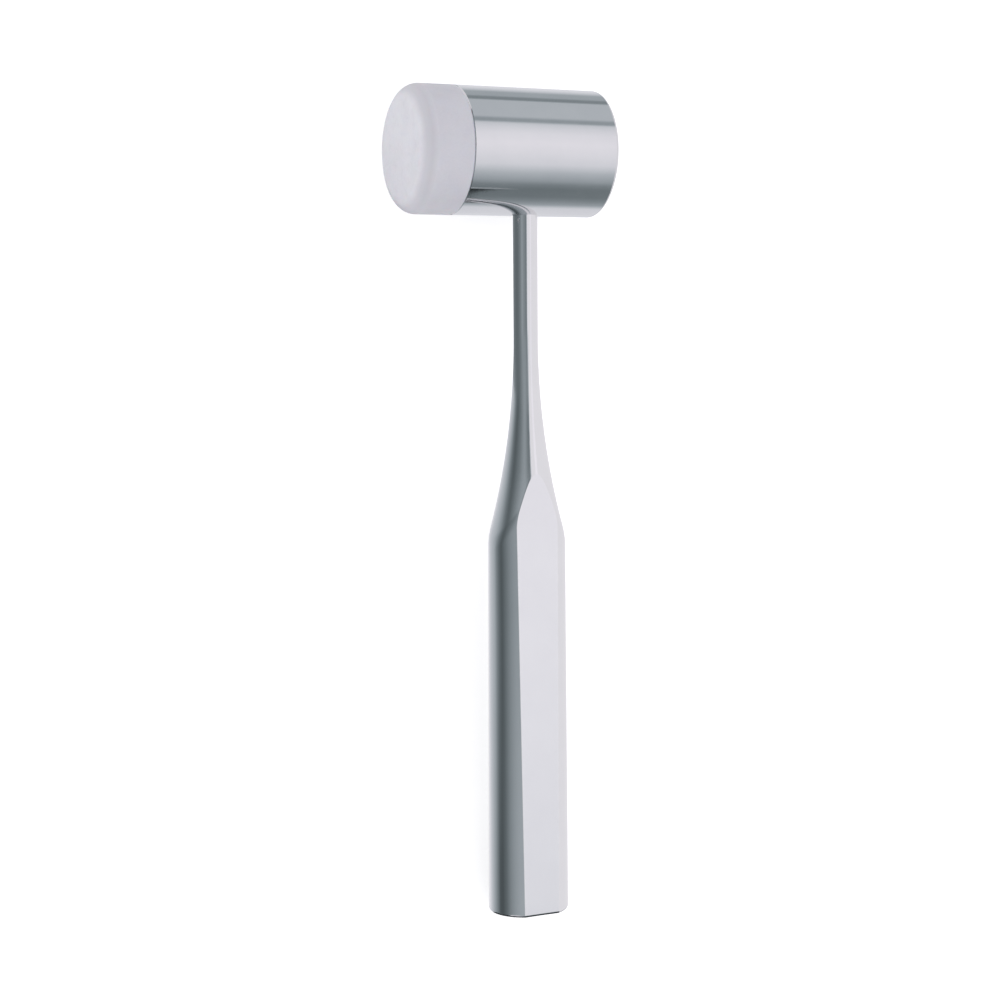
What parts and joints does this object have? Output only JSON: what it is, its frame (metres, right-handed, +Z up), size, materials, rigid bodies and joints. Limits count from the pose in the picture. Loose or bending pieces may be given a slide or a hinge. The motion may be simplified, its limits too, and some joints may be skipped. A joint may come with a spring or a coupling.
{
  "type": "surgical mallet",
  "caption": "Surgical bone mallet lying on its side: cylindrical steel head with a round-rimmed white nylon face, slim neck flaring into a grip with flat front and back.",
  "frame": {"origin": "on the table, under the middle of the whole mallet's bounding box", "axes": "+X along the head from the nylon face to the steel face, +Y up the handle from the butt to the head, +Z up from the table, out of the grip's front flat"},
  "size_m": [0.0596, 0.2402, 0.0364],
  "materials": {
    "polished_steel": "polished stainless steel with fine turning lines",
    "handle_steel": "polished stainless steel with ground flats",
    "white_nylon": "smooth turned white nylon"
  },
  "bodies": {
    "root": {"head": "polished_steel", "nylon_face": "white_nylon", "handle": "handle_steel"}
  },
  "joints": []
}
